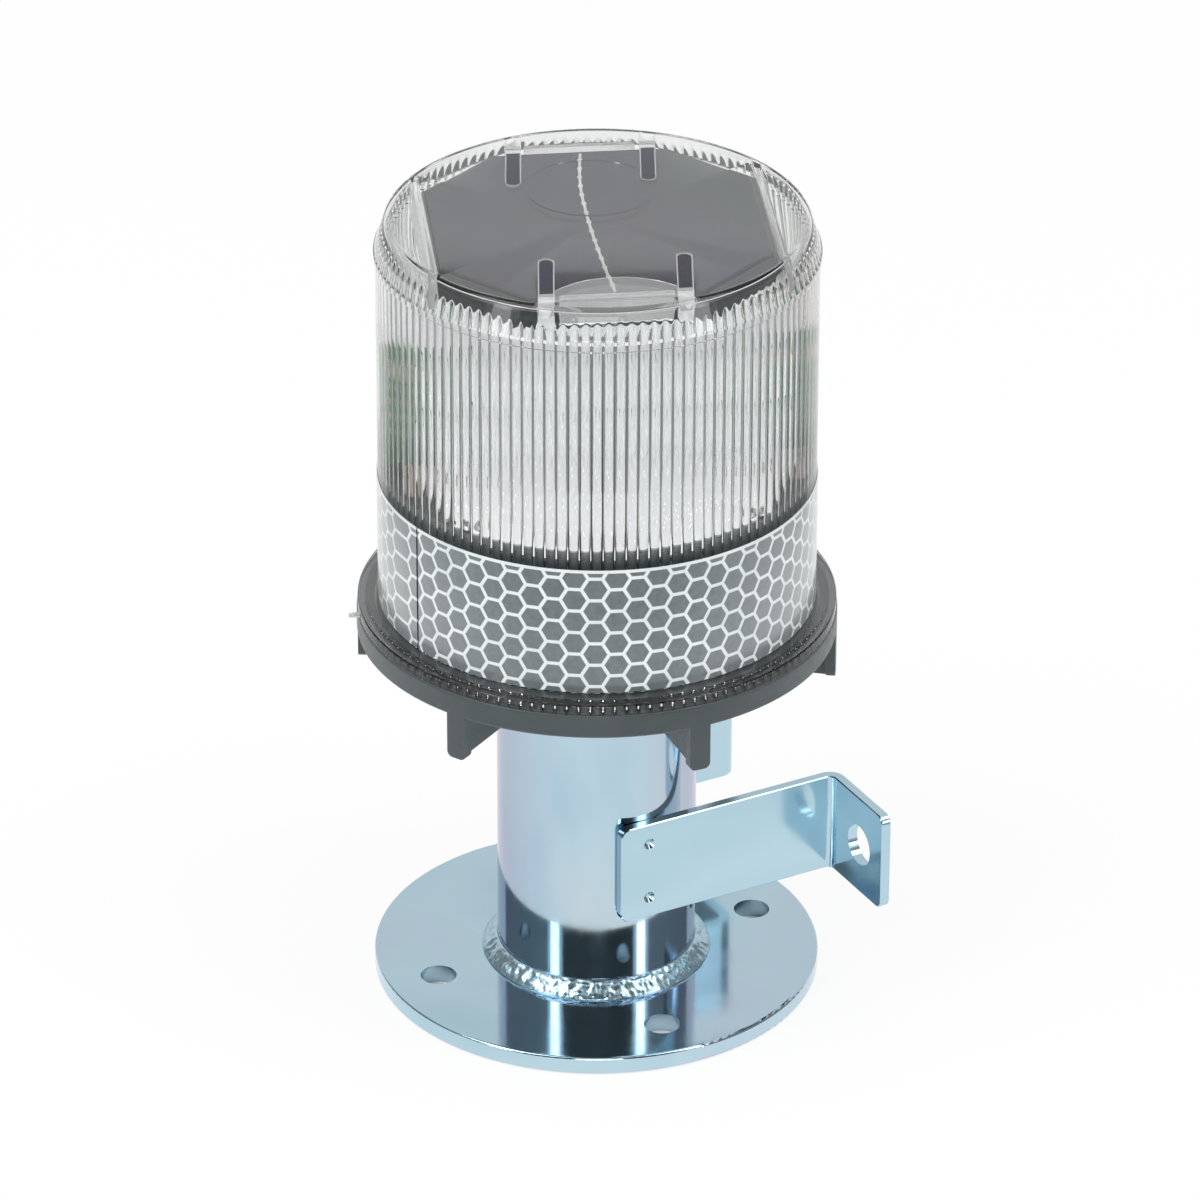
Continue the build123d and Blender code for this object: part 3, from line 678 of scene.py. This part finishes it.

# %% [markdown]
# The mouldings and boards come after the metals. The lamp base is a dark grey plastic with a satin face,
# and a painted sheen pales it where it turns away. The tray is nearly black, the upright board is green
# lacquer, and the panel is a very dark laminate with slow changes of tint.

# %% Plastics, boards and the panel
# The lamp base's paler edges are painted sheen.
finishes["dark_plastic"] = opaque("dark_moulding", [(0.034, 0.047, 0.052), (0.046, 0.06, 0.065)],
                                  (0.34, 0.5), 0.0, 60, relief=0.12, edge=(0.13, 0.15, 0.155))
finishes["seal_rubber"] = opaque("seal", [(0.02, 0.02, 0.02), (0.035, 0.035, 0.035)], (0.6, 0.8))
finishes["solar_laminate"] = opaque("dark_cells",
                                    [(0.006, 0.02, 0.022), (0.014, 0.014, 0.034), (0.02, 0.018, 0.014)],
                                    (0.1, 0.2), 0.0, 18, relief=0.02, specular=0.25)
finishes["tray_plastic"] = opaque("black_moulding", [(0.02, 0.024, 0.028), (0.032, 0.036, 0.04)],
                                  (0.3, 0.45))
finishes["green_board"] = opaque("green_lacquer", [(0.06, 0.15, 0.08), (0.09, 0.20, 0.11)], (0.25, 0.4),
                                 0.0, 90, coat=0.5)
finishes["dark_board"] = opaque("black_lacquer", [(0.012, 0.016, 0.018), (0.022, 0.026, 0.03)], (0.25, 0.4),
                                0.0, 90, coat=0.5)
finishes["diode_lens"] = opaque("cast_resin", [(0.72, 0.74, 0.75), (0.82, 0.83, 0.83)], (0.1, 0.2),
                                0.0, 90, coat=0.5)
finishes["component_plastic"] = opaque("part_cases", [(0.03, 0.16, 0.2), (0.35, 0.3, 0.24), (0.5, 0.4, 0.4)],
                                       (0.3, 0.5), 0.0, 120)
finishes["shrink_wrap"] = opaque("blue_wrap", [(0.03, 0.09, 0.24), (0.05, 0.13, 0.3)], (0.2, 0.35), 0.0, 60)
finishes["lead_sheath"] = opaque("red_sheath", [(0.4, 0.03, 0.02), (0.5, 0.05, 0.04)], (0.35, 0.5), 0.0, 80)
ribbon_finish = opaque("tinned_ribbon", [(0.5, 0.5, 0.48), (0.7, 0.7, 0.68)], (0.3, 0.5), 0.2, 200)
print("opaque finishes:", len(finishes) + 1)

# %% [markdown]
# The reflective sheet shows pale sealed walls round six-sided cells. The pattern follows the sheet, so the
# angle round the axis and the height become two flat lengths. Two grids of six-sided cells, one shifted by
# half a cell, give each point its distance from the nearest centre. The wall is where that is longest.

# %% Cells of the reflective sheet
cell = 7.1 * mm
cell_side = cell / math.sqrt(3)
cell_wall = 1.05 * mm
wall_blur = 0.15 * mm
sealed_edge = 0.9 * mm


def math_node(nodes, links, kind, a, b=None):
    """A Math node whose inputs are sockets or plain numbers."""
    node = nodes.new("ShaderNodeMath")
    node.operation = kind
    for socket, value in zip(node.inputs, (a, b)):
        if isinstance(value, bpy.types.NodeSocket):
            links.new(value, socket)
        elif value is not None:
            socket.default_value = value
    return node.outputs[0]


def vector_node(nodes, links, kind, a, *others):
    """A Vector Math node on one socket, with plain vectors for its other inputs."""
    node = nodes.new("ShaderNodeVectorMath")
    node.operation = kind
    links.new(a, node.inputs[0])
    for socket, value in zip(list(node.inputs)[1:], others):
        socket.default_value = value
    return node.outputs["Value"] if kind in ("DOT_PRODUCT", "LENGTH") else node.outputs["Vector"]


def cell_distance(nodes, links, place):
    """How far a point is from the middle of its six-sided cell, measured across the cell's flats."""
    angle = math_node(nodes, links, "ARCTAN2", place.outputs["Y"], place.outputs["X"])
    flat = nodes.new("ShaderNodeCombineXYZ")
    links.new(math_node(nodes, links, "MULTIPLY", angle, wall_r * mm), flat.inputs["X"])
    links.new(place.outputs["Z"], flat.inputs["Y"])
    reach = Vector((1.5 * cell_side, cell / 2, 1))
    distances = []
    for shift in ((0, 0, 0), (1.5 * cell_side, cell / 2, 0)):
        moved = vector_node(nodes, links, "ADD", flat.outputs[0], shift)
        wrapped = vector_node(nodes, links, "WRAP", moved, reach, -reach)
        size = vector_node(nodes, links, "ABSOLUTE", wrapped)
        slanted = vector_node(nodes, links, "DOT_PRODUCT", size, (math.sqrt(3) / 2, 0.5, 0))
        upright = vector_node(nodes, links, "DOT_PRODUCT", size, (0, 1, 0))
        distances.append(math_node(nodes, links, "MAXIMUM", slanted, upright))
    return math_node(nodes, links, "MINIMUM", distances[0], distances[1])


print("cells round the sheet:", round(2 * math.pi * wall_r * mm / (1.5 * cell_side), 1))

# %% [markdown]
# The walls are matt and stand up a little. The cells are darker, glossier and part metal, and pale where they
# turn away, as a painted sheen. A clear coat lies over both. Along its top edge the film is sealed all round,
# so the pattern gives way to one pale line.

# %% Finish of the reflective sheet
def sheet_finish():
    """Grey cells and pale walls, from the angle and height of each point."""
    made = bpy.data.materials.new("hexagon_film")
    made.use_nodes = True
    nodes, links = made.node_tree.nodes, made.node_tree.links
    place = nodes.new("ShaderNodeSeparateXYZ")
    links.new(nodes.new("ShaderNodeTexCoord").outputs["Object"], place.inputs[0])
    band = nodes.new("ShaderNodeMapRange")
    band.interpolation_type = "SMOOTHSTEP"
    band.inputs["From Min"].default_value = (cell - cell_wall) / 2 - wall_blur
    band.inputs["From Max"].default_value = (cell - cell_wall) / 2 + wall_blur
    links.new(cell_distance(nodes, links, place), band.inputs["Value"])
    top_edge = math_node(nodes, links, "GREATER_THAN", place.outputs["Z"], sheet_top - sealed_edge)
    walls = math_node(nodes, links, "MAXIMUM", band.outputs["Result"], top_edge)

    effect = nodes.new("ShaderNodeGroup")
    effect.node_tree = mottle
    effect.inputs["Scale"].default_value = 60
    grey = tones(nodes, links, effect.outputs["Fine"], [(0.10, 0.125, 0.135), (0.145, 0.175, 0.185)])
    # The cells pale where they turn away: painted sheen.
    grey = painted_edge_shading(nodes, links, grey, (0.5, 0.53, 0.54))
    pale = tones(nodes, links, effect.outputs["Broad"], [(0.62, 0.68, 0.70), (0.75, 0.79, 0.80)])
    mix = nodes.new("ShaderNodeMix")
    mix.data_type = "RGBA"
    links.new(walls, mix.inputs["Factor"])
    links.new(grey, mix.inputs[6])
    links.new(pale, mix.inputs[7])
    shader = nodes["Principled BSDF"]
    shader.inputs["Coat Weight"].default_value = 0.8
    shader.inputs["Coat Roughness"].default_value = 0.12
    links.new(mix.outputs[2], shader.inputs["Base Color"])
    links.new(spread(nodes, links, walls, 0.32, 0.55), shader.inputs["Roughness"])
    inverse = math_node(nodes, links, "SUBTRACT", 1.0, walls)
    links.new(math_node(nodes, links, "MULTIPLY", inverse, 0.35), shader.inputs["Metallic"])
    bump = nodes.new("ShaderNodeBump")
    bump.inputs["Strength"].default_value = 0.4
    bump.inputs["Distance"].default_value = 0.1 * mm
    links.new(walls, bump.inputs["Height"])
    links.new(bump.outputs["Normal"], shader.inputs["Normal"])
    return made


finishes["reflective_film"] = sheet_finish()
print("finish of the sheet:", finishes["reflective_film"].name)

# %% [markdown]
# Clear plastic is a Principled shader with full transmission, or a little less for the bars and fingers,
# which look milky. Its colour is nearly white, with a trace of tint that varies, and a very shallow relief
# stands for the moulding's slow waves. The cover lets light through to the parts inside, so it casts no
# shadow of its own and soft bounced light ignores it.

# %% Clear plastic
def clear_finish(name, rough, clear):
    """Clear moulding with faint waves, and a milky share where it isn't quite clear."""
    made = bpy.data.materials.new(name)
    made.use_nodes = True
    nodes, links = made.node_tree.nodes, made.node_tree.links
    shader = nodes["Principled BSDF"]
    shader.inputs["Transmission Weight"].default_value = clear
    shader.inputs["IOR"].default_value = 1.49
    effect = nodes.new("ShaderNodeGroup")
    effect.node_tree = mottle
    effect.inputs["Scale"].default_value = 12
    links.new(tones(nodes, links, effect.outputs["Broad"], [(0.95, 0.97, 0.97), (0.98, 0.98, 0.97)]),
              shader.inputs["Base Color"])
    links.new(spread(nodes, links, effect.outputs["Broad"], rough[0], rough[1]), shader.inputs["Roughness"])
    bump = nodes.new("ShaderNodeBump")
    bump.inputs["Strength"].default_value = 0.03
    bump.inputs["Distance"].default_value = 0.3 * mm
    links.new(effect.outputs["Broad"], bump.inputs["Height"])
    links.new(bump.outputs["Normal"], shader.inputs["Normal"])
    return made


finishes["clear_plastic"] = clear_finish("clear_moulding", (0.01, 0.03), 1.0)
bar_finish = clear_finish("dull_bars", (0.15, 0.3), 0.84)
finger_finish = clear_finish("dull_fingers", (0.15, 0.3), 0.68)
cover.visible_shadow = False
cover.visible_diffuse = False

# %% [markdown]
# Each CAD node takes the finish of its slot in the record, and the new pieces take theirs the same way.

# %% Finishes onto the pieces
for row in frame["record"]["subparts"]:
    node = frame["nodes"][row["node"]]
    node.data.materials.clear()
    node.data.materials.append(finishes[row["material_slot"]])
for piece, finish in ((weld, finishes["weld_bead"]), (ribbon, ribbon_finish)):
    piece.data.materials.clear()
    piece.data.materials.append(finish)
cover.data.materials[polished] = finishes["clear_plastic"]
cover.data.materials[dull] = bar_finish
cover.data.materials[milky] = finger_finish
print("finishes:", len(bpy.data.materials))

# %% [markdown]
# The floor is a wide pale plane just below the plate. The photograph's floor is nearly white with a faint
# shadow, so for rays that come from the camera, or by way of metal or glass, most of its light is its own.
# Under the plate it has none of its own, so that the bolt holes look into shade.

# %% Floor
own_light = 0.87
bpy.ops.object.select_all(action="DESELECT")
bpy.ops.mesh.primitive_plane_add(size=12, location=(0, 0, plate_low.z - 0.2 * mm))
floor = bpy.context.object
floor.name = "floor"


def floor_finish():
    """Pale floor, part of whose brightness is its own for the rays that are seen."""
    made = bpy.data.materials.new("pale_floor")
    made.use_nodes = True
    nodes, links = made.node_tree.nodes, made.node_tree.links
    shader = nodes["Principled BSDF"]
    shader.inputs["Base Color"].default_value = (0.9, 0.9, 0.9, 1)
    shader.inputs["Roughness"].default_value = 0.8
    shader.inputs["Specular IOR Level"].default_value = 0.0
    glow = nodes.new("ShaderNodeEmission")
    glow.inputs["Color"].default_value = (1, 1, 1, 1)
    path = nodes.new("ShaderNodeLightPath")
    seen = math_node(nodes, links, "MAXIMUM", path.outputs["Is Camera Ray"], path.outputs["Is Glossy Ray"])
    seen = math_node(nodes, links, "MAXIMUM", seen, path.outputs["Is Transmission Ray"])
    out = vector_node(nodes, links, "LENGTH", nodes.new("ShaderNodeTexCoord").outputs["Object"])
    beyond = nodes.new("ShaderNodeMapRange")
    beyond.inputs["From Min"].default_value = plate_high.x - 2 * mm
    beyond.inputs["From Max"].default_value = plate_high.x
    beyond.inputs["To Max"].default_value = own_light
    links.new(out, beyond.inputs["Value"])
    mix = nodes.new("ShaderNodeMixShader")
    links.new(math_node(nodes, links, "MULTIPLY", seen, beyond.outputs["Result"]), mix.inputs["Fac"])
    links.new(shader.outputs[0], mix.inputs[1])
    links.new(glow.outputs[0], mix.inputs[2])
    links.new(mix.outputs[0], nodes["Material Output"].inputs["Surface"])
    return made


floor.data.materials.append(floor_finish())
print("floor at", round(floor.location.z / mm, 1), "mm")

# %% [markdown]
# The world lights everything softly, a little below white, and is white where the camera sees it straight. A
# large soft lamp stands high at the left, a weaker one at the right, and a small low one in front reaches the
# reflectors under the panel. It is so low that neither plate nor tube mirrors it to the camera.

# %% World and lamps
world = bpy.context.scene.world or bpy.data.worlds.new("studio")
bpy.context.scene.world = world
world.use_nodes = True
tree = world.node_tree
back = tree.nodes["Background"]
back.inputs["Color"].default_value = (1, 1, 1, 1)
path = tree.nodes.new("ShaderNodeLightPath")
level = tree.nodes.new("ShaderNodeMapRange")
level.inputs["To Min"].default_value = 0.8
level.inputs["To Max"].default_value = 1.0
tree.links.new(path.outputs["Is Camera Ray"], level.inputs["Value"])
tree.links.new(level.outputs["Result"], back.inputs["Strength"])


def soft_lamp(name, place, size, energy):
    """A square area lamp that looks at the object's middle."""
    data = bpy.data.lights.new(name, "AREA")
    data.size = size
    data.energy = energy
    lamp = bpy.data.objects.new(name, data)
    bpy.context.scene.collection.objects.link(lamp)
    lamp.location = place
    lamp.rotation_euler = (object_middle - Vector(place)).to_track_quat("-Z", "Y").to_euler()


object_middle = Vector((0, 0, 0.12))
azimuth = math.radians(-28.5)
right = Vector((math.cos(azimuth), math.sin(azimuth), 0))
away = Vector((-math.sin(azimuth), math.cos(azimuth), 0))
soft_lamp("key_lamp", right * -0.9 - away * 0.5 + Vector((0, 0, 1.5)), 1.0, 9.0)
soft_lamp("fill_lamp", right * 0.9 - away * 0.3 + Vector((0, 0, 1.6)), 0.8, 6.0)
soft_lamp("front_lamp", -away * 1.3 + Vector((0, 0, 0.3)), 0.5, 3.0)
print("lamps:", len(bpy.data.lights))

# %% [markdown]
# Bright metal shows its surroundings more than itself, so the dark studio behind the camera is a curved
# screen, with one bright strip at each side. The floor is grey past the table's edge, which the cover's
# beads show as dark lines. Each screen is a line spun about the lamp's axis and turned to its place, with
# its middle angle counted from the camera's side, and is there only for rays that come by way of metal,
# plastic or glass. A strip has a bright core in a weaker band, so that its reflection fades at the edges.

# %% Dark screen and bright strips
def screen(name, line, middle, width, strength):
    """A curved screen round the object, seen only in reflections and through clear plastic."""
    piece = drawn_line(name, line, closed=False)
    bpy.ops.mesh.select_all(action="SELECT")
    bpy.ops.mesh.spin(steps=24, angle=math.radians(width), center=(0, 0, 0), axis=(0, 0, 1))
    bpy.ops.object.mode_set(mode="OBJECT")
    half_way = Vector((0, 0))
    for vertex in piece.data.vertices:
        half_way += vertex.co.xy.normalized()
    now = math.atan2(half_way.y, half_way.x)
    aim = azimuth - math.pi / 2 + math.radians(middle)
    piece.data.transform(Matrix.Rotation(aim - now, 4, "Z"))
    glow = bpy.data.materials.new(name)
    glow.use_nodes = True
    shader = glow.node_tree.nodes["Principled BSDF"]
    shader.inputs["Base Color"].default_value = (0.01, 0.011, 0.012, 1)
    shader.inputs["Emission Color"].default_value = (1, 1, 1, 1)
    shader.inputs["Emission Strength"].default_value = strength
    piece.data.materials.append(glow)
    piece.visible_camera = piece.visible_diffuse = piece.visible_shadow = False
    print(name, "from", middle - width / 2, "to", middle + width / 2, "degrees")


table_edge = 340
table_top = 1.5
screen_r = 1700
screen_low = 60
front_w = 120
side_w = 72
side_middle = (front_w + side_w) / 2
strip_r = 1500
core_r = 1450
strip_low = 250
strip_high = 1500
screen("dark_screen", [(screen_r, screen_low), (screen_r, 2600)], 0, front_w, 0.004)
screen("floor_in_front", [(table_edge, table_top), (screen_r, table_top)], 0, front_w, 0.2)
for side in (-1, 1):
    screen("grey_screen", [(screen_r, screen_low), (screen_r, 1900)], side * side_middle, side_w, 0.2)
    screen("floor_at_side", [(table_edge, table_top), (screen_r, table_top)], side * side_middle, side_w, 0.4)
for middle in (-49, 53):
    screen("bright_band", [(strip_r, strip_low), (strip_r, strip_high)], middle, 19, 0.7)
    screen("bright_core", [(core_r, strip_low), (core_r, strip_high)], middle, 10, 4.0)

# %% [markdown]
# The camera stands where the photograph's did: 28.5 degrees round from the brackets' line, 28.3 degrees up
# and 2.2 m away, with a long lens. Its focal length was solved from the plate's and cover's rings, and so
# were the point that it looks at and its slight roll.

# %% Camera
elevation = math.radians(28.317)
roll = math.radians(0.131)
distance = 2.2
target = right * 0.000903 + Vector((0, 0, 0.124724))
focal_px = 7342.5
frame_px = 1200
data = bpy.data.cameras.new("photo_camera")
data.sensor_width = 36
data.lens = focal_px / frame_px * data.sensor_width
camera = bpy.data.objects.new("photo_camera", data)
bpy.context.scene.collection.objects.link(camera)
level_share = math.cos(elevation)
behind = Vector((math.sin(azimuth) * level_share, -math.cos(azimuth) * level_share, math.sin(elevation)))
camera.location = target + behind * distance
turn = (-behind).to_track_quat("-Z", "Y").to_matrix() @ Matrix.Rotation(roll, 3, "Z")
camera.rotation_euler = turn.to_euler()
bpy.context.scene.camera = camera
bpy.context.scene.view_settings.view_transform = "Standard"
print("lens", round(data.lens, 2), "mm")
